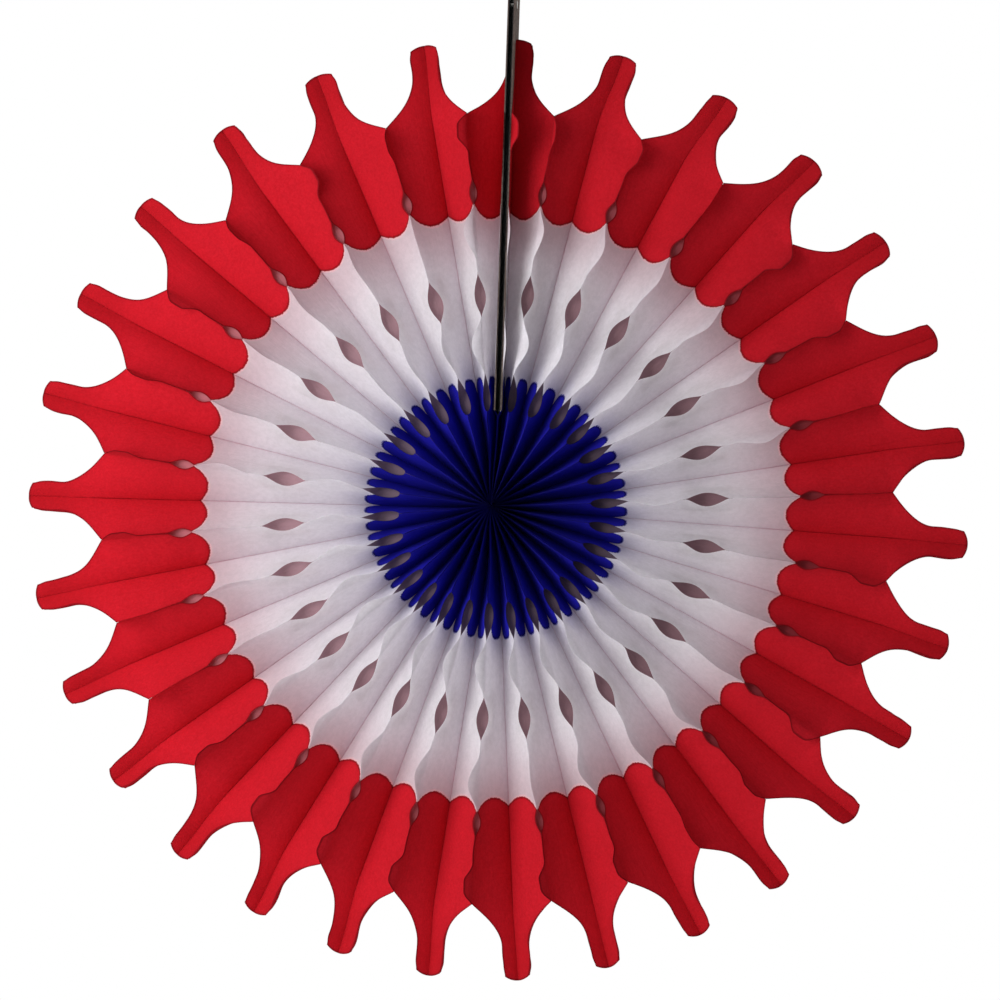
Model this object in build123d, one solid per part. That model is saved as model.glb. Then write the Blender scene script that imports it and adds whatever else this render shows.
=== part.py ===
"""A hanging fan rosette: die-cut tissue sheets glued into a full turn of deep pleats between two boards.

Millimetres. The fan hangs in the XZ plane and faces -Y. The origin is the middle of the hanging hole,
straight above the hub. Two sheets that are glued along one crease make one petal with four arms: two reach
forward and two back, each to a ridge where it is glued to the next petal's arm.
"""

import math
import os

from build123d import *

# Opened fan
petal_count = 30
top_spread = 0.092  # how much wider than the mean the pleats stand at the top, and narrower at the bottom
top_spread_side = 4.0  # degrees clockwise from the boards to where they stand widest
first_gap_share = 0.89  # the pleats beside the boards are held closer together
last_gap_share = 0.79

# Sheet, across
sheet_thickness = 0.3
rim_depth = 17.5  # how far forward the widest pleats still stand where their glued edge ends

# Sheet, along: these lengths follow each other from the hub to the tip
hub_radius = 6.0
inner_pleat_length = 60.0
finger_hole_length = 30.2
blue_span_length = 41.5
lens_hole_length = 31.2
white_span_length = 50.5
eye_hole_length = 18.3
red_span_length = 49.3
shoulder_length = 33.0
neck_length = 12.5
tip_round_length = 12.0

# Die-cut edge: how far each cut goes in from the glued edge, and the size of the free tip
finger_hole_depth = 17.0
lens_hole_depth = 11.7
eye_hole_depth = 5.3
neck_half_width = 13.3
tip_flat_half_width = 5.0

# Boards and what goes through them
board_thickness = 1.1
board_gap = 3.2
board_past_hole_start = 4.0
board_past_tip = 45.5
board_corner_radius = 8.0
hanging_hole_radius = 2.5
hanging_hole_from_end = 10.0
rivet_shank_radius = 1.2
rivet_clearance = 0.1
rivet_head_radius = 3.0
rivet_head_thickness = 0.7
rivet_past_tip = 23.5
rivet_from_front = 24.0

# Places along the sheet that the lengths above lead to
finger_hole_start = hub_radius + inner_pleat_length
lens_hole_start = finger_hole_start + finger_hole_length + blue_span_length
eye_hole_start = lens_hole_start + lens_hole_length + white_span_length
root_radius = eye_hole_start + eye_hole_length + red_span_length
tip_radius = root_radius + shoulder_length + neck_length + tip_round_length

# From the crease to the glued edge: the sheet has to reach across half of the widest gap between creases
widest_half_gap = math.radians(180 / (petal_count - 1) * (1 + top_spread))
arm_reach = math.hypot(root_radius * math.tan(widest_half_gap), rim_depth)

stack_half = board_gap / 2 + board_thickness
board_start = finger_hole_start + board_past_hole_start
board_end = tip_radius + board_past_tip
hanging_radius = board_end - hanging_hole_from_end
hub = Vector(0, 0, -hanging_radius)


# Outline of a sheet, as stations (radius along the crease, reach from the crease, glued or free)


def teardrop(share):
    """Depth of the finger hole along its length: blunt towards the hub, pointed outwards."""
    deepest = 1 / 3
    return math.sqrt(share) * (1 - share) / (math.sqrt(deepest) * (1 - deepest))


def lens(share):
    """Depth of a hole that is pointed at both ends."""
    return 4 * share * (1 - share)


def hole(start, length, depth, shape, shares):
    """Stations of one cut into the glued edge, from its inner to its outer end."""
    stations = [(start, arm_reach, True)]
    for share in shares:
        stations.append((start + length * share, arm_reach - depth * shape(share), False))
    stations.append((start + length, arm_reach, True))
    return stations


def free_tip():
    """Stations of the tip: a hollow shoulder, a straight neck and a rounded end."""
    stations = [(root_radius, arm_reach, True)]
    shoulder_width = arm_reach - neck_half_width
    for share in (0.25, 0.6, 1.0):
        radius = root_radius + shoulder_length * share
        stations.append((radius, neck_half_width + shoulder_width * (1 - share) ** 2, False))
    neck_end = root_radius + shoulder_length + neck_length
    round_width = neck_half_width - tip_flat_half_width
    for turn in (0, 45, 90):
        radius = neck_end + tip_round_length * math.sin(math.radians(turn))
        stations.append((radius, tip_flat_half_width + round_width * math.cos(math.radians(turn)), False))
    return stations


def sheet_edge():
    """Stations of the whole die-cut edge, from the hub to the tip."""
    stations = [(hub_radius, arm_reach, True)]
    stations += hole(finger_hole_start, finger_hole_length, finger_hole_depth, teardrop, (0.15, 0.5))
    stations += hole(lens_hole_start, lens_hole_length, lens_hole_depth, lens, (0.35, 0.65))
    stations += hole(eye_hole_start, eye_hole_length, eye_hole_depth, lens, (0.5,))
    return stations + free_tip()


def crease_radii():
    """Where the crease can bend: the hub, the boards' start, opposite two holes, the root and the tip."""
    return [
        hub_radius,
        board_start,
        lens_hole_start + lens_hole_length / 2,
        eye_hole_start + eye_hole_length / 2,
        root_radius,
        tip_radius,
    ]


# How the fan stands open


def crease_angles():
    """Angle of each crease, in degrees clockwise from the boards."""
    gaps = petal_count - 1
    shares = []
    for gap in range(gaps):
        middle = 360 * (gap + 0.5) / gaps
        shares.append(1 + top_spread * math.cos(math.radians(middle - top_spread_side)))
    shares[0] *= first_gap_share
    shares[-1] *= last_gap_share
    beside_board = math.degrees(math.atan((stack_half + sheet_thickness) / root_radius))
    turn = 360 - 2 * beside_board
    angles = [beside_board]
    for share in shares:
        angles.append(angles[-1] + turn * share / sum(shares))
    return angles


def lining_offset(radius):
    """Distance of a lining sheet from the boards' middle: nothing at the hub, then the board's face."""
    share = (radius - hub_radius) / (finger_hole_start - hub_radius)
    return stack_half * min(max(share, 0), 1)


def no_offset(radius):
    """A petal between two others has its crease on a line through the hub."""
    return 0.0


def right_lining(radius):
    """The first petal's crease lies on the lining of the right-hand board."""
    return lining_offset(radius) + sheet_thickness / 2


def left_lining(radius):
    """The last petal's crease lies on the lining of the left-hand board."""
    return -right_lining(radius)


class Arm:
    """One side of a petal: how far the glued edge stands from the crease, and the slope this gives."""

    def __init__(self, side, half_angle, crease_offset):
        """side is 1 for clockwise and -1 for the other; half_angle is None for a sheet glued on a board."""
        self.side = side
        self.half_angle = half_angle
        self.crease_offset = crease_offset

    def edge_offset(self, radius):
        """Distance across from the crease to the plane where the neighbouring arms are glued."""
        return radius * math.tan(math.radians(self.half_angle)) - self.side * self.crease_offset(radius)

    def slope(self, radius):
        """Angle between the arm and straight ahead. The free tip keeps the last glued point's slope."""
        if self.half_angle is None:
            return 0.0
        return math.asin(self.edge_offset(min(radius, root_radius)) / arm_reach)

    def edge_points(self, radius, reach, glued):
        """Front and back corner of the sheet's edge, as (across, ahead)."""
        slope = self.slope(radius)
        half = sheet_thickness / 2
        if glued and self.half_angle is not None:
            across = self.edge_offset(radius)
            ahead = across / math.tan(slope)
            rise = half / math.sin(slope)
            corners = [(across, min(ahead + rise, arm_reach)), (across, ahead - rise)]
        else:
            across = reach * math.sin(slope)
            ahead = reach * math.cos(slope)
            step_across = half * math.cos(slope)
            step_ahead = half * math.sin(slope)
            corners = [
                (across - step_across, ahead + step_ahead),
                (across + step_across, ahead - step_ahead),
            ]
        start = self.crease_offset(radius)
        return [(start + self.side * x, y) for x, y in corners]

    def root_point(self, radius):
        """Corner between this arm and the arm behind it, as (across, ahead)."""
        half = sheet_thickness / 2
        return (self.crease_offset(radius) + self.side * half / math.cos(self.slope(radius)), 0.0)


def valley_point(left, right, radius):
    """Bottom of the groove between a petal's two front arms, as (across, ahead)."""
    half = sheet_thickness / 2
    left_slope = left.slope(radius)
    right_slope = right.slope(radius)
    widths = 1 / math.cos(left_slope) + 1 / math.cos(right_slope)
    ahead = half * widths / (math.tan(left_slope) + math.tan(right_slope))
    across = ahead * math.tan(right_slope) - half / math.cos(right_slope)
    return (right.crease_offset(radius) + across, ahead)


# Solids


def strip(inner, outer):
    """Triangles between two lines of (radius, point), each step taken by the line that lags behind."""
    triangles = []
    i = 0
    j = 0
    while i < len(inner) - 1 or j < len(outer) - 1:
        outer_next = outer[j + 1][0] if j < len(outer) - 1 else math.inf
        inner_next = inner[i + 1][0] if i < len(inner) - 1 else math.inf
        if outer_next <= inner_next:
            triangles.append((inner[i][1], outer[j][1], outer[j + 1][1]))
            j += 1
        else:
            triangles.append((inner[i][1], outer[j][1], inner[i + 1][1]))
            i += 1
    return triangles


def petal(angle, left, right):
    """Two sheets glued along a crease that stands at this angle, as one solid with four arms."""
    turn = math.radians(angle)
    outwards = Vector(math.sin(turn), 0, math.cos(turn))
    clockwise = Vector(math.cos(turn), 0, -math.sin(turn))

    def place(radius, point, ahead_side):
        across, ahead = point
        return hub + outwards * radius + clockwise * across + Vector(0, -ahead_side * ahead, 0)

    edge = sheet_edge()
    crease = crease_radii()
    triangles = []
    end_outlines = [[], []]
    roots = {}
    for arm in (left, right):
        roots[arm.side] = [(r, place(r, arm.root_point(r), 1)) for r in crease]
    for ahead_side in (1, -1):
        valley = [(r, place(r, valley_point(left, right, r), ahead_side)) for r in crease]
        for arm in (left, right):
            corners = [(r, arm.edge_points(r, reach, glued)) for r, reach, glued in edge]
            groove_edge = [(r, place(r, both[0], ahead_side)) for r, both in corners]
            pocket_edge = [(r, place(r, both[1], ahead_side)) for r, both in corners]
            triangles += strip(valley, groove_edge)
            triangles += strip(groove_edge, pocket_edge)
            triangles += strip(roots[arm.side], pocket_edge)
            for end in (0, -1):
                arm_end = [line[end][1] for line in (roots[arm.side], pocket_edge, groove_edge)]
                end_outlines[end].append((valley[end][1], arm_end))

    faces = [Face(Wire.make_polygon(corners, close=True)) for corners in triangles]
    faces += [end_cap(*end_outlines[end]) for end in (0, -1)]
    return Solid(Shell(faces))


def end_cap(front_left, front_right, back_left, back_right):
    """The cross-shaped face that closes a petal's hub end or tip end."""
    valley_front = front_left[0]
    valley_back = back_left[0]
    outline = front_left[1] + [valley_front] + front_right[1][::-1]
    outline += back_right[1][1:] + [valley_back] + back_left[1][:0:-1]
    return Face(Wire.make_polygon(outline, close=True))


def petals():
    """All petals, clockwise from the right-hand board, by node name."""
    creases = crease_angles()
    ridges = [(creases[i] + creases[i + 1]) / 2 for i in range(petal_count - 1)]
    first = petal(0, Arm(-1, None, right_lining), Arm(1, ridges[0], right_lining))
    made = {"petal_01": first}
    for index in range(1, petal_count - 1):
        crease = creases[index]
        before = Arm(-1, crease - ridges[index - 1], no_offset)
        after = Arm(1, ridges[index] - crease, no_offset)
        made[f"petal_{index + 1:02d}"] = petal(crease, before, after)
    last = petal(360, Arm(-1, 360 - ridges[-1], left_lining), Arm(1, None, left_lining))
    made[f"petal_{petal_count:02d}"] = last
    return made


def board(side):
    """One chipboard strip, glued to a lining sheet; side is 1 for the right-hand board."""
    rivet_place = (rivet_from_front - arm_reach, tip_radius + rivet_past_tip - hanging_radius)
    length = board_end - board_start
    with BuildPart() as made:
        with BuildSketch(Plane.YZ.offset(side * board_gap / 2)):
            with Locations((0, board_end - hanging_radius - length / 2)):
                outline = Rectangle(2 * arm_reach, length)
            fillet(outline.vertices().sort_by(Axis.Z)[-2:], board_corner_radius)
            Circle(hanging_hole_radius, mode=Mode.SUBTRACT)
            with Locations(rivet_place):
                Circle(rivet_shank_radius + rivet_clearance, mode=Mode.SUBTRACT)
        extrude(amount=side * board_thickness)
    return made.part.solid()


def rivet():
    """The fastener through both boards, a shank with a flat head on each raw face."""
    place = Vector(0, rivet_from_front - arm_reach, tip_radius + rivet_past_tip - hanging_radius)
    with BuildPart() as made:
        with Locations(Location(place, (0, 90, 0))):
            Cylinder(rivet_shank_radius, 2 * stack_half)
        for side in (1, -1):
            middle = side * (stack_half + rivet_head_thickness / 2)
            with Locations(Location(place + Vector(middle, 0, 0), (0, 90, 0))):
                Cylinder(rivet_head_radius, rivet_head_thickness)
    return made.part.solid()


def main():
    """Build every piece and write one file for each."""
    os.makedirs("parts", exist_ok=True)
    pieces = petals()
    pieces["board_right"] = board(1)
    pieces["board_left"] = board(-1)
    pieces["board_rivet"] = rivet()
    for name, solid in pieces.items():
        export_step(solid, f"parts/{name}.step")
    print(f"Tip radius {tip_radius:.1f} mm, hanging hole {hanging_radius:.1f} mm above the hub")


main()
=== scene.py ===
"""Visual model of a hanging fan rosette: pleated tissue with a die-cut edge and three fields of dye."""

import math

import bpy
import numpy as np
from mathutils import Matrix, Vector


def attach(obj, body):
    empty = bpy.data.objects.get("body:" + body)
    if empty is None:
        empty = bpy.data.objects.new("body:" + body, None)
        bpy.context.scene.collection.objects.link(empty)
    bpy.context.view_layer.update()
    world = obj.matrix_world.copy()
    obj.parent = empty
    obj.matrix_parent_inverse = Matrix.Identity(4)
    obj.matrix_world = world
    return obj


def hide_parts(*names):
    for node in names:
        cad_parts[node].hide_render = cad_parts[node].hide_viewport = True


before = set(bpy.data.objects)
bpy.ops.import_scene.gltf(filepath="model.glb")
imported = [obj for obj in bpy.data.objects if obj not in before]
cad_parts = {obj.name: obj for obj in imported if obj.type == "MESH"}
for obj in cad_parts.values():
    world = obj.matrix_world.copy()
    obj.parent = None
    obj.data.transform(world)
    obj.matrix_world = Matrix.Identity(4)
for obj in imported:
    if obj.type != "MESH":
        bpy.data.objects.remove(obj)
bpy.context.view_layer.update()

MM = 0.001

# Sizes that the solid model is built from, in millimetres
petal_count = 30
top_spread = 0.092
top_spread_side = 4.0
first_gap_share = 0.89
last_gap_share = 0.79
hub_radius = 6.0
finger_hole_end = 96.2
lens_hole_start = 137.7
lens_hole_end = 168.9
eye_hole_start = 219.4
eye_hole_end = 237.7
root_radius = 287.0
shoulder_end = 320.0
neck_end = 332.5
tip_radius = 344.5
lens_hole_depth = 11.7
eye_hole_depth = 5.3
neck_half_width = 13.3
rim_depth = 17.5
hanging_radius = 380.0
board_start = 70.0
stack_half = 2.7
sheet_thickness = 0.3
widest_half_gap = math.radians(180 / (petal_count - 1) * (1 + top_spread))
arm_reach = math.hypot(root_radius * math.tan(widest_half_gap), rim_depth)

# Sizes of the die-cut edge that only the visual model has: soft finger holes, loose flaps, a rounded tip
inner_radius = 1.0
finger_hole_start = 69.2
finger_hole_depth = 15.5
hub_flap = 2.0
hub_flap_fade = 6.0
low_flap = 8.5
high_flap = 9.0
high_flap_start = lens_hole_end + 11
after_lens_flap = 1.0
after_lens_length = 26.0
after_eye_flap = 1.2
after_eye_length = 28.0
red_flap = 9.5
red_flap_start = 257.0
red_flap_full = 270.0
red_flap_end = 281.4
lobe_rounding = 7.0
tip_corner = 1.6
end_softness = 1.3

# Sizes of the webs behind the holes, sheets put there only to carry painted pocket shade, and the angle of
# the pocket with the darkest painted shade in degrees
web_margin = 5.0
finger_web_reach = 16.5
lens_web_reach = 20.5
eye_web_reach = 28.0
darkest_pocket = 100.0

# How a sheet swings from its crease to its glued edge, and how it billows and wobbles on the way
fine_steps = 60
steepest = 0.97
front_swing = 0.25
swing_fade_start = root_radius - 12
swing_fade_end = root_radius + 24
ply_gap = 0.08
billow_room = 25.0
long_waves = (120, 61, 33)
long_wave_height = 0.9
short_waves = (43, 23)
short_wave_height = 0.35
ridge_waves_across = (170, 90, 47)
ridge_waves_ahead = (150, 70, 31)
wobble_full_radius = 60.0
wobble_end = root_radius + 30

# How the tips sag and bend, how the last one lies down on its board, and how the hub hangs aside
tip_sag = 4.5
tip_sag_start = shoulder_end - 8
tip_bend = 3.5
last_tip_start = 288.0
last_tip_length = 32.0
last_tip_closing = 0.97
hub_pull = np.array([-2.5, 0.0, 0.6])
hub_pull_end = board_start - 10

hub = np.array([0.0, 0.0, -hanging_radius])
ahead = np.array([0.0, -1.0, 0.0])

# Radii at which the flaps along the inner white, the outer white and the red lobe have their own leans
low_lean_start = 112.0
low_lean_end = 125.0
high_lean_start = 195.0
high_lean_end = 208.0
red_lean_start = 262.0

# The back's flaps lean as the front's do some ridges further on, the other way and a little less
back_ridge_shift = 7
back_lean_share = 0.8

# Share of its lean that a flap has where it leaves the ridge, and what each millimetre beyond adds
flap_root_share = 0.65
flap_curl = 0.07
flap_steps = 12

# Lean of the flap beside each board along the white and the red, at the front and at the back, in degrees
right_board_leans = ((14, 40), (12, 12))
left_board_leans = ((2, 2), (-10, -10))

# Lean of the flaps that stand beyond each glued ridge, clockwise from the boards, in degrees from straight
# ahead: along the inner white, the outer white and the red lobe
low_leans = [60, 40, 35, 25, 15, 20, 25, 20, 35, 35, 25, 45, 40, 45, 60]
low_leans += [60, 45, 55, 55, 40, 45, 25, 20, 5, 15, -10, -20, -30, -70]
high_leans = [45, 40, 30, 40, 40, 45, 5, 5, 0, 15, 45, 25, 45, 15, 55]
high_leans += [45, 50, 50, 45, 10, 15, 5, 25, -15, -10, -15, -15, -5, -75]
red_leans = [20, 35, 5, 70, 35, 0, 5, 40, 40, 75, 30, 10, 35, 40, 45]
red_leans += [45, 50, 55, 30, -5, 0, 25, 20, -20, -45, -20, 50, -15, -60]

# Distance of each tip aside from its crease's line, clockwise, in millimetres
tip_asides = [0, 5.5, 6, 3.5, 2, 1, 2, 1, 2.5, 1, -2.5, -1, -2, 0, -1.5]
tip_asides += [-4, -4.5, -4.5, -4, -3, -2, -1, 0.5, 1, 1.5, 1, 3, 2.5, 3, 0]


# Die-cut edge


def smooth(low, high, value):
    """Rises softly from 0 at low to 1 at high."""
    share = np.clip((value - low) / (high - low), 0, 1)
    return share * share * (3 - 2 * share)


def bump(start, end, value):
    """A rounded hump between start and end, 1 at its middle."""
    share = np.clip((value - start) / (end - start), 0, 1)
    return np.sin(math.pi * share) ** end_softness


def lens_depth(start, end, radius):
    """Depth from 0 to 1 of a hole that is pointed at both ends."""
    share = np.clip((radius - start) / (end - start), 0, 1)
    return (4 * share * (1 - share)) ** end_softness


def drop_depth(start, end, radius):
    """Depth from 0 to 1 of a hole that is blunt towards the hub and deepest at a third of its length."""
    share = np.clip((radius - start) / (end - start), 0, 1)
    greatest = 0.3849
    return np.sqrt(share) * (1 - share) / greatest


def sheet_reach(radius):
    """Distance from the crease to the cut edge along the sheet."""
    flap = hub_flap * (1 - smooth(finger_hole_start - hub_flap_fade, finger_hole_start, radius))
    flap += low_flap * bump(finger_hole_end, lens_hole_start, radius)
    flap += high_flap * bump(high_flap_start, eye_hole_start, radius)
    flap += after_lens_flap * bump(lens_hole_end, lens_hole_end + after_lens_length, radius)
    flap += after_eye_flap * bump(eye_hole_end, eye_hole_end + after_eye_length, radius)
    flap += red_flap * smooth(red_flap_start, red_flap_full, radius)
    flap -= finger_hole_depth * drop_depth(finger_hole_start, finger_hole_end, radius)
    flap -= lens_hole_depth * lens_depth(lens_hole_start, lens_hole_end, radius)
    flap -= eye_hole_depth * lens_depth(eye_hole_start, eye_hole_end, radius)
    before_end = np.maximum((shoulder_end - radius) / (shoulder_end - root_radius), 0)
    shoulder = neck_half_width + (arm_reach - neck_half_width) * before_end**2
    corner = tip_corner * smooth(neck_end, tip_radius, radius) ** 4
    uncut = arm_reach + flap
    rounding = np.maximum(lobe_rounding - np.abs(uncut - shoulder), 0) ** 2 / (4 * lobe_rounding)
    return np.minimum(uncut, shoulder) - rounding - corner


def row_radii():
    """Rows of a sheet along its crease, closer together where the cut edge turns."""
    rows = []

    def add(start, end, count, ease=1.0):
        shares = np.linspace(0, 1, count, endpoint=False) ** ease
        rows.extend(start + (end - start) * shares)

    add(inner_radius, finger_hole_start, 16)
    add(finger_hole_start, finger_hole_end, 16, 1.7)
    add(finger_hole_end, lens_hole_start, 14)
    add(lens_hole_start, lens_hole_end, 15)
    add(lens_hole_end, eye_hole_start, 19)
    add(eye_hole_start, eye_hole_end, 10)
    add(eye_hole_end, red_flap_start, 7)
    add(red_flap_start, red_flap_end, 12)
    add(red_flap_end, root_radius, 4)
    add(root_radius, shoulder_end, 13)
    add(shoulder_end, neck_end, 3)
    add(neck_end, tip_radius, 6, 0.8)
    return np.array(rows + [tip_radius])


rows = row_radii()

# Columns of a sheet: shares of the way to the glued edge, then shares of the flap, at least a strip wide
inner_shares = np.array([0, 0.02, 0.06, 0.13, 0.22, 0.32, 0.43, 0.54, 0.65, 0.76, 0.86, 0.94, 1.0])
outer_shares = np.array([0.35, 0.7, 1.0])
edge_strip = 0.8


def edge_and_columns():
    """Reach of each row, and the places of its points from the crease to the cut edge."""
    reach = sheet_reach(rows)
    inner_end = np.minimum(arm_reach, reach - edge_strip)
    inner = inner_end[:, None] * inner_shares[None, :]
    outer = inner_end[:, None] + (reach - inner_end)[:, None] * outer_shares[None, :]
    return reach, np.concatenate([inner, outer], axis=1)


cut_reach, sheet_columns = edge_and_columns()


# How the fan stands open


def crease_angles():
    """Angle of each crease, in degrees clockwise from the boards."""
    gaps = petal_count - 1
    shares = []
    for gap in range(gaps):
        middle = 360 * (gap + 0.5) / gaps
        shares.append(1 + top_spread * math.cos(math.radians(middle - top_spread_side)))
    shares[0] *= first_gap_share
    shares[-1] *= last_gap_share
    beside_board = math.degrees(math.atan((stack_half + sheet_thickness) / root_radius))
    turn = 360 - 2 * beside_board
    angles = [beside_board]
    for share in shares:
        angles.append(angles[-1] + turn * share / sum(shares))
    return angles


creases = crease_angles()
ridges = [(creases[i] + creases[i + 1]) / 2 for i in range(petal_count - 1)]


def directions(angle):
    """Outward and clockwise direction at an angle clockwise from straight up."""
    turn = math.radians(angle)
    outwards = np.array([math.sin(turn), 0, math.cos(turn)])
    clockwise = np.array([math.cos(turn), 0, -math.sin(turn)])
    return outwards, clockwise


def lining_offset(radius):
    """Distance of a lining sheet from the boards' middle. Below the boards the two sheets close up."""
    return stack_half * smooth(board_start - 3, board_start + 1, radius) + sheet_thickness / 2


def fold_profile(offset):
    """Across and ahead at fine steps from the crease to the glued edge, for each row of a wing.

    A swing makes the middle of the profile steeper than its mean by half the swing.
    """
    t = np.linspace(0, 1, fine_steps + 1)[None, :]
    mean = np.clip(offset / arm_reach, 1e-4, steepest)[:, None]
    swing = np.minimum(front_swing, (steepest / mean - 1) / 0.5)
    swing = swing * (1 - smooth(swing_fade_start, swing_fade_end, rows))[:, None]
    share = t + swing * (3 * t**2 - 2 * t**3 - t)
    across = offset[:, None] * share
    step = arm_reach / fine_steps
    rise = np.sqrt(np.maximum(step**2 - np.diff(across, axis=1) ** 2, 0))
    depth = np.concatenate([np.zeros((len(rows), 1)), np.cumsum(rise, axis=1)], axis=1)
    return across, depth


def at_columns(values, columns):
    """Reads a fine profile where the columns of each row stand, held at the glued edge beyond it."""
    fine = np.linspace(0, arm_reach, values.shape[1])
    return np.array([np.interp(columns[i], fine, values[i]) for i in range(len(rows))])


def flap_lean(ridge, back):
    """Lean of a ridge's flap in each row, in radians."""
    index = (ridge + back_ridge_shift) % len(ridges) if back else ridge
    share = -back_lean_share if back else 1.0
    low, high, red = low_leans[index], high_leans[index], red_leans[index]
    stops = [hub_radius, finger_hole_start, low_lean_start, low_lean_end]
    stops += [high_lean_start, high_lean_end, red_lean_start]
    leans = [0.2 * low, 0.5 * low, low, low, high, high, red]
    return np.radians(share * np.interp(rows, stops, leans))


def lining_lean(index, back):
    """Lean of the flap beside a board in each row, in radians."""
    board_leans = right_board_leans if index == 0 else left_board_leans
    return np.radians(np.interp(rows, [eye_hole_start, red_lean_start], board_leans[int(back)]))


def flap_points(lean, columns):
    """Across and ahead of the flap beyond the glued edge, curling further over towards its edge."""
    beyond = np.maximum(columns - arm_reach, 0)
    across = np.zeros_like(beyond)
    depth = np.zeros_like(beyond)
    for step in range(flap_steps):
        place = beyond * (step + 0.5) / flap_steps
        angle = lean[:, None] * (flap_root_share + flap_curl * place)
        across += np.sin(angle) * beyond / flap_steps
        depth += np.cos(angle) * beyond / flap_steps
    return across, depth


def ripple(generator, lengths, size):
    """A gentle wave along the radius made of a few seeded sine waves."""
    wave = np.zeros_like(rows)
    for length in lengths:
        phase = generator.uniform(0, 2 * math.pi)
        wave += generator.uniform(0.4, 1.0) * np.sin(2 * math.pi * rows / length + phase)
    return size * wave / len(lengths)


def wobble(generator):
    """Wobble of one glued edge in each row, across and ahead."""
    return ripple(generator, ridge_waves_across, 1.0), ripple(generator, ridge_waves_ahead, 0.8)


# Both plies of a ridge share its wobble at the front and at the back, and a petal's wings its tip's bend
random = np.random.default_rng(48)
ridge_wobble = [[wobble(random) for _ in range(2)] for _ in ridges]
tip_bends = [random.uniform(-tip_bend, tip_bend) for _ in range(petal_count)]


def crease_line(index):
    """Angle of a petal's crease, and the distance of its rows aside from that angle's line."""
    if index == 0:
        return 0.0, lining_offset(rows)
    if index == petal_count - 1:
        return 360.0, -lining_offset(rows)
    return creases[index], np.zeros_like(rows)


def lies_on_board(index, side):
    """Whether a wing is the flat lining of a board."""
    return (index == 0 and side < 0) or (index == petal_count - 1 and side > 0)


def ridge_beside(index, side):
    """Number of the ridge where a wing is glued to its neighbour."""
    return index if side > 0 else index - 1


def wing_offsets(index, side):
    """Distance from crease to ridge in each row: as the fan stands open, and as this wing takes it.

    The first and the last petal begin beside the boards. The first one's free wing lies flat at the tip,
    and the last one's lies down on its board.
    """
    angle, crease = crease_line(index)
    half_angle = math.radians(abs(ridges[ridge_beside(index, side)] - angle))
    held_rows = np.minimum(rows, root_radius)
    full = held_rows * math.tan(half_angle)
    own = full - side * np.interp(held_rows, rows, crease)
    if index == petal_count - 1:
        own = own * (1 - last_tip_closing * np.clip((rows - last_tip_start) / last_tip_length, 0, 1))
    if index == 0:
        own = own + (steepest * arm_reach - own) * smooth(root_radius, neck_end, rows)
    return full, own


def pleated_wing(index, side, back, columns, level):
    """Across and ahead of the columns of a wing that is glued to its neighbour."""
    full, own = wing_offsets(index, side)
    least_offset = 0.02
    fine_across, fine_depth = fold_profile(np.maximum(own - ply_gap, least_offset))
    _, shared_depth = fold_profile(full)
    fine_depth = fine_depth * (shared_depth[:, -1:] / fine_depth[:, -1:])
    across = side * at_columns(fine_across, columns)
    depth = at_columns(fine_depth, columns)
    if level:
        across += side * ply_gap * np.linspace(0, 1, columns.shape[1])
        depth[:, 1:] = depth[:, :1]

    # It billows most half-way, where there is room
    generator = np.random.default_rng(1000 + 4 * index + 2 * (side > 0) + back)
    billow = ripple(generator, long_waves, long_wave_height)[:, None]
    billow = billow + ripple(generator, short_waves, short_wave_height)[:, None]
    room = np.minimum(own / billow_room, 1)[:, None]
    near = np.abs(across) / np.maximum(own, 0.05)[:, None]
    across += 4 * near * np.clip(1 - near, 0, 1) * room * billow

    # It wobbles with its ridge
    wobble_across, wobble_depth = ridge_wobble[ridge_beside(index, side)][int(back)]
    held = 1 - smooth(root_radius, wobble_end, rows)
    spread = np.minimum(rows / wobble_full_radius, 1)[:, None]
    follows = np.clip(columns / arm_reach, 0, 1) ** 2
    across += follows * (wobble_across * held)[:, None] * spread
    depth += follows * (wobble_depth * held)[:, None]
    return across, depth


def half_wing(index, side, back, columns, level=False):
    """Points of one wing of a sheet at columns, from the crease outwards, in millimetres.

    A level strip leaves the wing at its first column, and crosses from there to the middle of the pocket
    that the wing closes with its neighbour.
    """
    angle, crease = crease_line(index)
    outwards, clockwise = directions(angle)
    if lies_on_board(index, side):
        across = np.zeros_like(columns)
        depth = np.minimum(columns, arm_reach)
        lean = lining_lean(index, back)
        flap_clockwise = clockwise
    else:
        ridge = ridge_beside(index, side)
        across, depth = pleated_wing(index, side, back, columns, level)
        lean = flap_lean(ridge, back)
        _, flap_clockwise = directions(ridges[ridge])

    flap_across, flap_depth = flap_points(lean, columns)
    sag = tip_sag * smooth(tip_sag_start, tip_radius, rows)[:, None]
    radius = rows[:, None] - sag * (columns / neck_half_width) ** 2
    place = crease[:, None] + across
    facing = -ahead if back else ahead
    points = hub + radius[:, :, None] * outwards + place[:, :, None] * clockwise
    points = points + flap_across[:, :, None] * flap_clockwise
    points = points + (depth + flap_depth)[:, :, None] * facing
    points = points + hub_pull * (1 - smooth(0, hub_pull_end, rows))[:, None, None]
    if 0 < index < petal_count - 1:
        drift = smooth(root_radius, tip_radius, rows)[:, None, None]
        points = points + drift * (tip_asides[index] * clockwise + tip_bends[index] * ahead)
    return points


# Dye

# Scalloped edges of the red and of the blue: their radius at places across from the crease
red_places = [0, 6, 13, 20, 27, 33, 38, 50]
red_radii = [216.8, 213.8, 211, 210.3, 211.8, 215.5, 220.4, 223]
blue_places = [0, 1.2, 2.4, 4.2, 6, 8.5, 12, 15.5, 19, 22.4, 24.9, 29, 38]
blue_radii = [85.5, 88, 90.3, 92.6, 94.3, 95.3, 95.9, 96, 95.8, 95.1, 94, 85, 80]


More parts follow.
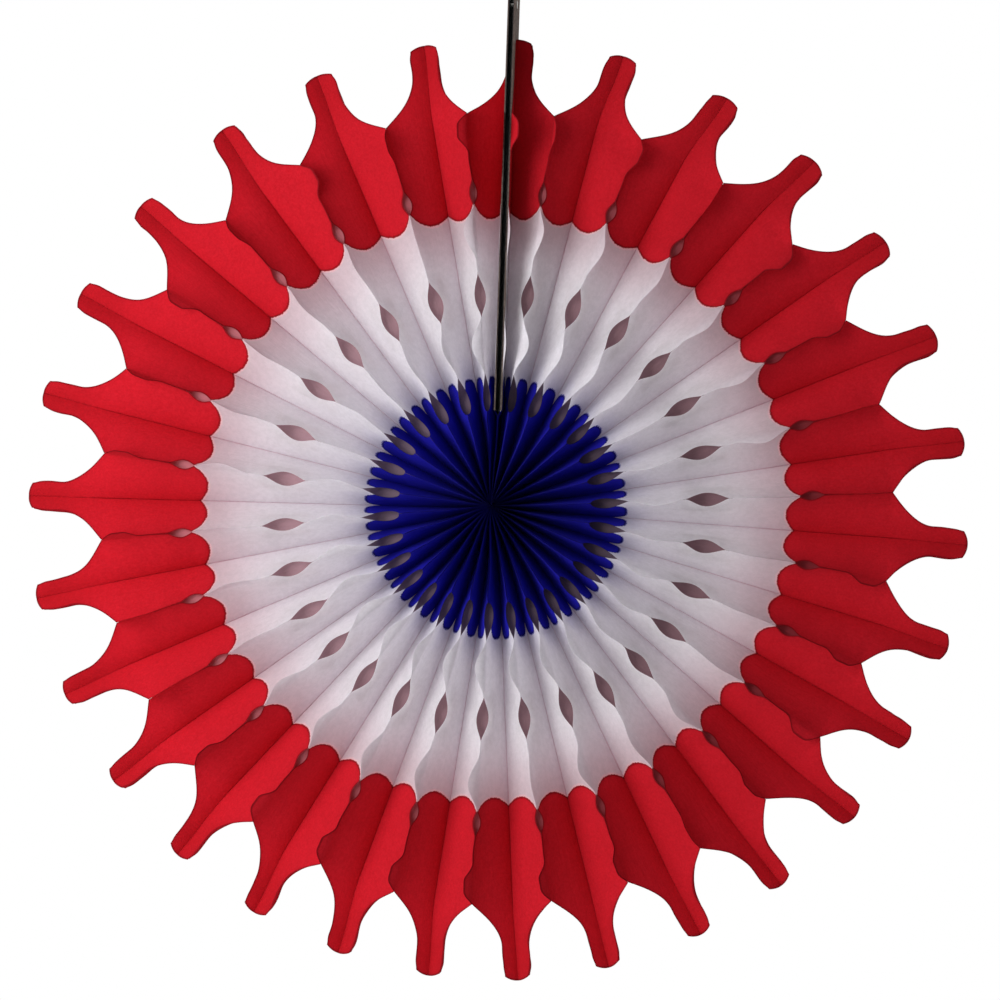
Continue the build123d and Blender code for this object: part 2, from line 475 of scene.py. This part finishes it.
def dye_fields(across, along):
    """Signed distance along the crease into the red and into the blue dye, in millimetres."""
    aside = np.abs(across)
    red_edge = np.interp(aside, red_places, red_radii)
    blue_edge = np.interp(aside, blue_places, blue_radii)
    return along - red_edge, blue_edge - along


class SheetBuilder:
    """Gathers grids of points, and the fields that the dye and the painted pocket shade are painted from,
    into one mesh.
    """

    def __init__(self):
        self.vertices = []
        self.faces = []
        names = ("dye_red", "dye_blue", "cut", "across", "along", "inside", "painted_darkness")
        self.fields = {name: [] for name in names}
        self.seeds = []
        self.count = 0

    def add(self, points, across, along, cut, seed, flip, painted_darkness=None):
        """Adds a grid. A value from 0 to 1, given for a web inside a pocket, sets how dark its painted
        shade is.
        """
        height, width = across.shape
        grid = np.arange(height * width).reshape(height, width) + self.count
        quads = np.stack([grid[:-1, :-1], grid[:-1, 1:], grid[1:, 1:], grid[1:, :-1]], axis=-1)
        if flip:
            quads = quads[..., ::-1]
        self.faces.append(quads.reshape(-1, 4))
        self.vertices.append(points.reshape(-1, 3))
        self.count += height * width
        red, blue = dye_fields(across, along)
        inside = np.full_like(across, painted_darkness is not None)
        values = (red, blue, cut, across, along, inside, inside * (painted_darkness or 0.0))
        for name, value in zip(self.fields, values):
            self.fields[name].append(value.reshape(-1))
        self.seeds.append(np.full(height * width, seed))

    def mesh(self, name):
        """One mesh of all grids, with every field and the place of the paper's grain as attributes."""
        made = bpy.data.meshes.new(name)
        made.from_pydata(np.concatenate(self.vertices) * MM, [], np.concatenate(self.faces).tolist())
        fields = {key: np.concatenate(value) for key, value in self.fields.items()}
        for key, value in fields.items():
            attribute = made.attributes.new(key, "FLOAT", "POINT")
            attribute.data.foreach_set("value", value.astype(np.float32))
        place = np.stack([fields["across"], fields["along"], np.concatenate(self.seeds)], axis=1)
        paper = made.attributes.new("paper", "FLOAT_VECTOR", "POINT")
        paper.data.foreach_set("vector", place.astype(np.float32).reshape(-1))
        made.shade_smooth()
        made.update()
        return made


def painted_shade_webs():
    """Rows behind each kind of hole, and the columns of its web, from where it leaves the wing. The webs
    carry painted shade.
    """
    webs = []
    for start, end, reach in (
        (finger_hole_start, finger_hole_end, finger_web_reach),
        (lens_hole_start, lens_hole_end, lens_web_reach),
        (eye_hole_start, eye_hole_end, eye_web_reach),
    ):
        shown = (rows > start - web_margin) & (rows < end + web_margin)
        columns = np.linspace(reach, arm_reach, 3)
        webs.append((shown, np.broadcast_to(columns, (len(rows), 3))))
    return webs


def add_sheet(builder, index, side, seed):
    """Adds one sheet of a petal, its front and back wing in one grid."""
    front = half_wing(index, side, False, sheet_columns)
    rear = half_wing(index, side, True, sheet_columns)
    points = np.concatenate([front[:, ::-1], rear[:, 1:]], axis=1)
    across = np.concatenate([sheet_columns[:, ::-1], -sheet_columns[:, 1:]], axis=1)
    along = np.broadcast_to(rows[:, None], across.shape)
    cut = np.minimum(cut_reach[:, None] - np.abs(across), tip_radius - along)
    builder.add(points, across, along, cut, seed, side > 0)


def add_shaded_webs(builder, index, side, seed):
    """Adds the webs that close a wing's pocket behind its holes, at the front and at the back. They carry
    painted shade, darker on the side of the fan away from the light.
    """
    # Painted shade: pockets towards darkest_pocket, away from the light, are painted darker
    painted_darkness = 0.5 + 0.5 * math.cos(math.radians(creases[index] - darkest_pocket))
    far_from_edge = 9.0
    for shown, columns in painted_shade_webs():
        for back in (False, True):
            points = half_wing(index, side, back, columns, level=True)[shown]
            across = columns[shown]
            along = np.broadcast_to(rows[shown, None], across.shape)
            cut = np.full_like(across, far_from_edge)
            builder.add(points, across, along, cut, seed, (side > 0) != back, painted_darkness)


def petal_mesh(index):
    """Both sheets of a petal with their webs. The seed gives each sheet a grain of its own."""
    builder = SheetBuilder()
    for side in (-1, 1):
        seed = 37.0 * (2 * index + (side > 0))
        add_sheet(builder, index, side, seed)
        if not lies_on_board(index, side):
            add_shaded_webs(builder, index, side, seed)
    return builder.mesh(f"tissue_petal_{index + 1:02d}")


# Materials


def linear(red, green, blue):
    """A colour as a screen shows it, from 0 to 255, as the linear colour that a shader takes."""
    channels = []
    for value in (red, green, blue):
        share = value / 255
        channels.append(share / 12.92 if share <= 0.04045 else ((share + 0.055) / 1.055) ** 2.4)
    return (*channels, 1.0)


class Nodes:
    """Short calls for building one material's node tree."""

    def __init__(self, name):
        self.material = bpy.data.materials.new(name)
        self.material.use_nodes = True
        self.tree = self.material.node_tree
        self.tree.nodes.clear()

    def add(self, kind, inputs=(), **settings):
        """A node whose inputs are set to values or linked to other nodes' outputs."""
        node = self.tree.nodes.new(kind)
        for key, value in settings.items():
            setattr(node, key, value)
        for name, value in dict(inputs).items():
            socket = node.inputs[name]
            if isinstance(value, bpy.types.NodeSocket):
                self.tree.links.new(value, socket)
            else:
                socket.default_value = value
        return node

    def field(self, name):
        return self.add("ShaderNodeAttribute", attribute_name=name).outputs["Fac"]

    def math(self, operation, first, second=0.0):
        return self.add("ShaderNodeMath", {0: first, 1: second}, operation=operation).outputs[0]

    def ramp(self, value, low, high, at_low=0.0, at_high=1.0):
        """A smooth step of value from at_low at low to at_high at high."""
        inputs = {"Value": value, 1: low, 2: high, 3: at_low, 4: at_high}
        node = self.add("ShaderNodeMapRange", inputs, interpolation_type="SMOOTHSTEP")
        return node.outputs[0]

    def mix(self, factor, first, second, blend="MIX"):
        inputs = {"Factor": factor, 6: first, 7: second}
        node = self.add("ShaderNodeMix", inputs, data_type="RGBA", blend_type=blend)
        return node.outputs[2]

    def noise(self, vector, scale, detail=2.0, roughness=0.5):
        inputs = {"Vector": vector, "Scale": scale, "Detail": detail, "Roughness": roughness}
        return self.add("ShaderNodeTexNoise", inputs).outputs["Fac"]

    def stretched(self, vector, amounts):
        node = self.add("ShaderNodeVectorMath", {0: vector, 1: amounts}, operation="MULTIPLY")
        return node.outputs[0]

    def finish(self, shader):
        self.add("ShaderNodeOutputMaterial", {"Surface": shader})
        return self.material


def undyed_colour(n, red_field, blue_field, red_edge, in_crease):
    """White, pinker towards the red as painted light bounced off the red, bluer towards the blue, with
    painted shade in the crease and a pale halo along the red.
    """
    # Painted light: a pink glow bounced off the red, rising towards the red's edge
    red_bounce_light = n.ramp(red_field, -50, 0, 0, 0.36)
    near_blue = n.ramp(blue_field, -24, 0, 0, 0.14)
    colour = n.mix(red_bounce_light, linear(244, 241, 245), linear(196, 149, 162))
    colour = n.mix(near_blue, colour, linear(150, 142, 205))
    # Painted shade in the crease, tinted pink
    colour = n.mix(n.math("MULTIPLY", in_crease, 0.3), colour, linear(215, 165, 182))
    halo = n.ramp(red_edge, -1.9, -0.6, 0, 0.85)
    return n.mix(halo, colour, linear(254, 216, 221))


def red_colour(n, paper, red_edge, cut, along, in_crease):
    """Mottled red with painted shade towards the tips and in the crease, darker along the cut edge and
    where the dye ends.
    """
    mottle = n.ramp(n.noise(paper, 0.6, 2, 0.6), 0.3, 0.7)
    colour = n.mix(mottle, linear(201, 22, 37), linear(210, 28, 44))
    # Painted shade: darker red towards the tips
    colour = n.mix(n.ramp(along, 285, 335, 0, 0.5), colour, linear(176, 14, 24))
    # Painted shade in the crease
    colour = n.mix(n.math("MULTIPLY", in_crease, 0.15), colour, linear(150, 8, 20))
    border = n.ramp(n.math("MINIMUM", cut, red_edge), 0, 6, 0.3, 0)
    colour = n.mix(border, colour, linear(172, 12, 26))
    outline = n.ramp(cut, 0.5, 2.0, 0.7, 0)
    colour = n.mix(outline, colour, linear(108, 6, 16))
    rim = n.math("MULTIPLY", n.ramp(red_edge, 0.0, 0.4), n.ramp(red_edge, 0.9, 2.0, 1, 0))
    return n.mix(n.math("MULTIPLY", rim, 0.65), colour, linear(100, 4, 14))


def blue_colour(n, blue_edge, cut, along):
    """Blue with a little painted shade towards the hub, and a dark line along the cut edge and where the
    dye ends.
    """
    # Painted shade: a little darker towards the hub
    colour = n.mix(n.ramp(along, 12, 70), linear(29, 26, 164), linear(30, 26, 172))
    outline = n.ramp(cut, 0.5, 1.5, 1, 0)
    rim = n.math("MULTIPLY", n.ramp(blue_edge, 0.2, 0.8), n.ramp(blue_edge, 1.2, 2.4, 1, 0))
    dark = n.math("MULTIPLY", n.math("MAXIMUM", rim, outline), 0.75)
    return n.mix(dark, colour, linear(9, 5, 52))


def painted_pocket_shade(n, along):
    """Painted shade on the webs behind each ring of holes: mauve tissue in shade, darker where the shade
    field is higher.
    """
    painted_darkness = n.field("painted_darkness")
    by_finger = n.mix(painted_darkness, linear(150, 127, 137), linear(110, 93, 102))
    by_lens = n.mix(painted_darkness, linear(168, 133, 140), linear(128, 98, 104))
    by_eye = n.mix(painted_darkness, linear(198, 122, 130), linear(150, 58, 66))
    colour = n.mix(n.ramp(along, 100, 130), by_finger, by_lens)
    return n.mix(n.ramp(along, 180, 210), colour, by_eye)


def paper_grain(n, paper):
    """A grey near 1 that multiplies the colour: soft clouds and fibres along the sheet."""
    clouds = n.ramp(n.noise(paper, 0.25, 2, 0.6), 0.3, 0.7, 0.965, 1.03)
    streaks = n.noise(n.stretched(paper, (1.6, 0.5, 1.0)), 1.6, 2, 0.7)
    fibres = n.ramp(streaks, 0.25, 0.75, 0.965, 1.03)
    grey = n.math("MULTIPLY", clouds, fibres)
    return n.add("ShaderNodeCombineColor", {0: grey, 1: grey, 2: grey}).outputs[0]


def tissue_material():
    """Thin matt tissue: fields of dye, painted shade and painted bounce light, soft wrinkles, and light
    that comes through the white most.
    """
    n = Nodes("dyed_tissue")
    paper = n.add("ShaderNodeAttribute", attribute_name="paper").outputs["Vector"]
    red_field = n.field("dye_red")
    blue_field = n.field("dye_blue")
    across = n.math("ABSOLUTE", n.field("across"))
    along = n.field("along")
    cut = n.field("cut")
    inside = n.field("inside")

    bleed = n.math("SUBTRACT", n.noise(paper, 0.9, 1), 0.5)
    red_edge = n.math("ADD", red_field, n.math("MULTIPLY", bleed, 1.6))
    blue_edge = n.math("ADD", blue_field, n.math("MULTIPLY", bleed, 2.4))
    is_red = n.ramp(red_edge, -0.3, 0.3)
    is_blue = n.ramp(blue_edge, -0.7, 0.7)
    in_crease = n.ramp(across, 0.2, 1.6, 1, 0)

    colour = undyed_colour(n, red_field, blue_field, red_edge, in_crease)
    colour = n.mix(is_red, colour, red_colour(n, paper, red_edge, cut, along, in_crease))
    colour = n.mix(is_blue, colour, blue_colour(n, blue_edge, cut, along))
    # Painted pocket shade on the webs behind the holes
    colour = n.mix(inside, colour, painted_pocket_shade(n, along))
    colour = n.mix(1.0, colour, paper_grain(n, paper), "MULTIPLY")

    wrinkle = n.noise(n.stretched(paper, (0.35, 0.06, 1.0)), 1.0, 3, 0.6)
    relief = {"Height": wrinkle, "Strength": 0.35, "Distance": 0.0008}
    normal = n.add("ShaderNodeBump", relief).outputs[0]
    inputs = {"Base Color": colour, "Roughness": 0.9, "Specular IOR Level": 0.15, "Normal": normal}
    face = n.add("ShaderNodeBsdfPrincipled", inputs).outputs[0]
    through = n.add("ShaderNodeBsdfTranslucent", {"Color": colour, "Normal": normal}).outputs[0]
    dyed = n.math("MAXIMUM", is_red, is_blue)
    share = n.ramp(n.math("MAXIMUM", dyed, inside), 0, 1, 0.42, 0.2)
    return n.finish(n.add("ShaderNodeMixShader", {0: share, 1: face, 2: through}).outputs[0])


def board_material():
    """Raw grey-brown chipboard with darker edges, and black on the faces towards the other board."""
    n = Nodes("chipboard")
    place = n.add("ShaderNodeTexCoord").outputs["Object"]
    from_middle = n.math("ABSOLUTE", n.add("ShaderNodeSeparateXYZ", {0: place}).outputs[0])
    faced = n.ramp(from_middle, 1.75 * MM, 1.8 * MM, 1, 0)
    on_edge = n.ramp(from_middle, 2.6 * MM, 2.65 * MM, 0.75, 0)
    pulp = n.ramp(n.noise(place, 650, 3, 0.7), 0.36, 0.64)
    specks = n.ramp(n.noise(place, 1100, 2, 0.6), 0.54, 0.62)
    raw = n.mix(pulp, linear(72, 60, 56), linear(164, 148, 136))
    raw = n.mix(n.math("MULTIPLY", specks, 0.7), raw, linear(60, 50, 46))
    raw = n.mix(on_edge, raw, linear(70, 57, 55))
    colour = n.mix(faced, raw, linear(14, 12, 16))
    height = n.math("ADD", pulp, specks)
    normal = n.add("ShaderNodeBump", {"Height": height, "Strength": 0.3, "Distance": 0.0002}).outputs[0]
    inputs = {"Base Color": colour, "Roughness": 0.85, "Specular IOR Level": 0.3, "Normal": normal}
    return n.finish(n.add("ShaderNodeBsdfPrincipled", inputs).outputs[0])


def rivet_material():
    """Dull brushed steel with fine scratches."""
    n = Nodes("rivet_steel")
    place = n.add("ShaderNodeTexCoord").outputs["Object"]
    scratches = n.noise(n.stretched(place, (1.0, 1.0, 12.0)), 700, 3, 0.6)
    colour = n.mix(scratches, linear(168, 166, 162), linear(196, 194, 190))
    rough = n.ramp(scratches, 0.3, 0.7, 0.28, 0.42)
    inputs = {"Base Color": colour, "Metallic": 1.0, "Roughness": rough}
    return n.finish(n.add("ShaderNodeBsdfPrincipled", inputs).outputs[0])


def dress_node(name, material):
    """Gives a solid that stays in view its finished material."""
    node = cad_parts[name]
    for place in node.material_slots:
        place.link = "OBJECT"
        place.material = material


# Pieces

tissue = tissue_material()
for index in range(petal_count):
    mesh = petal_mesh(index)
    mesh.materials.append(tissue)
    piece = bpy.data.objects.new(mesh.name, mesh)
    bpy.context.collection.objects.link(piece)
    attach(piece, "root")
    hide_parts(f"petal_{index + 1:02d}")

chipboard = board_material()
dress_node("board_right", chipboard)
dress_node("board_left", chipboard)
dress_node("board_rivet", rivet_material())


# Floor, light and camera


def floor_material():
    """Matt near the object, and plain white further out for the camera."""
    shadow_end = 0.5
    white_start = 1.7
    n = Nodes("floor_white")
    place = n.add("ShaderNodeTexCoord").outputs["Object"]
    flat = n.stretched(place, (1.0, 1.0, 0.0))
    distance = n.add("ShaderNodeVectorMath", {0: flat}, operation="LENGTH").outputs["Value"]
    seen = n.add("ShaderNodeLightPath").outputs["Is Camera Ray"]
    share = n.math("MULTIPLY", n.ramp(distance, shadow_end, white_start), seen)
    matt = n.add("ShaderNodeBsdfDiffuse", {"Color": (0.86, 0.86, 0.86, 1)}).outputs[0]
    white = n.add("ShaderNodeEmission", {"Color": (1, 1, 1, 1), "Strength": 1.0}).outputs[0]
    return n.finish(n.add("ShaderNodeMixShader", {0: share, 1: matt, 2: white}).outputs[0])


def add_floor():
    """A pale floor that keeps the shadow near the object and fades to white around it."""
    height = -0.98
    half = 12.0
    corners = [(-half, -half, height), (half, -half, height), (half, half, height), (-half, half, height)]
    mesh = bpy.data.meshes.new("floor")
    mesh.from_pydata(corners, [], [(0, 1, 2, 3)])
    mesh.materials.append(floor_material())
    floor = bpy.data.objects.new("floor", mesh)
    bpy.context.collection.objects.link(floor)


def add_light(name, place, target, size, power):
    """A square soft light that points at target, in metres and watts."""
    data = bpy.data.lights.new(name, "AREA")
    data.shape = "SQUARE"
    data.size = size
    data.energy = power
    light = bpy.data.objects.new(name, data)
    light.location = place
    light.rotation_mode = "QUATERNION"
    light.rotation_quaternion = (Vector(target) - Vector(place)).to_track_quat("-Z", "Y")
    bpy.context.collection.objects.link(light)


def set_world(level):
    """Even grey light, and white where the camera, a reflection or a clear thing looks past the object."""
    world = bpy.data.worlds.new("surroundings")
    bpy.context.scene.world = world
    world.use_nodes = True
    tree = world.node_tree
    tree.nodes.clear()
    rays = tree.nodes.new("ShaderNodeLightPath")
    seen = tree.nodes.new("ShaderNodeMath")
    seen.operation = "MAXIMUM"
    tree.links.new(rays.outputs["Is Camera Ray"], seen.inputs[0])
    mirrored = tree.nodes.new("ShaderNodeMath")
    mirrored.operation = "MAXIMUM"
    tree.links.new(rays.outputs["Is Glossy Ray"], mirrored.inputs[0])
    tree.links.new(rays.outputs["Is Transmission Ray"], mirrored.inputs[1])
    tree.links.new(mirrored.outputs[0], seen.inputs[1])
    strength = tree.nodes.new("ShaderNodeMapRange")
    strength.inputs["To Min"].default_value = level
    tree.links.new(seen.outputs[0], strength.inputs["Value"])
    background = tree.nodes.new("ShaderNodeBackground")
    background.inputs["Color"].default_value = (1, 1, 1, 1)
    tree.links.new(strength.outputs[0], background.inputs["Strength"])
    output = tree.nodes.new("ShaderNodeOutputWorld")
    tree.links.new(background.outputs[0], output.inputs["Surface"])


def add_camera():
    """Stands a little to the right of and below the fan, and is rolled as the photograph is."""
    distance = 3.85
    azimuth = math.radians(2.6)
    elevation = math.radians(-2.0)
    roll = math.radians(1.95)
    seen_width = 0.7313
    aside_of_hub = 0.0022
    above_hub = 0.0063
    aim = Vector((aside_of_hub, 0.0, -hanging_radius * MM + above_hub))
    back = Vector((
        math.sin(azimuth) * math.cos(elevation),
        -math.cos(azimuth) * math.cos(elevation),
        math.sin(elevation),
    ))
    data = bpy.data.cameras.new("camera")
    data.sensor_width = 36.0
    data.lens = data.sensor_width * distance / seen_width
    camera = bpy.data.objects.new("camera", data)
    turn = (-back).to_track_quat("-Z", "Y").to_matrix() @ Matrix.Rotation(roll, 3, "Z")
    camera.matrix_world = Matrix.Translation(aim + back * distance) @ turn.to_4x4()
    bpy.context.collection.objects.link(camera)
    bpy.context.scene.camera = camera


add_floor()
middle = (0.0, 0.0, -hanging_radius * MM)
add_light("key", (-0.78, -0.85, -0.3), middle, 0.85, 10.7)
add_light("fill", (-0.8, -1.5, 0.1), middle, 1.0, 3.4)
add_light("back", (-0.7, 0.95, -0.38), middle, 0.9, 12.0)
set_world(0.23)
add_camera()
bpy.context.scene.view_settings.view_transform = "Standard"
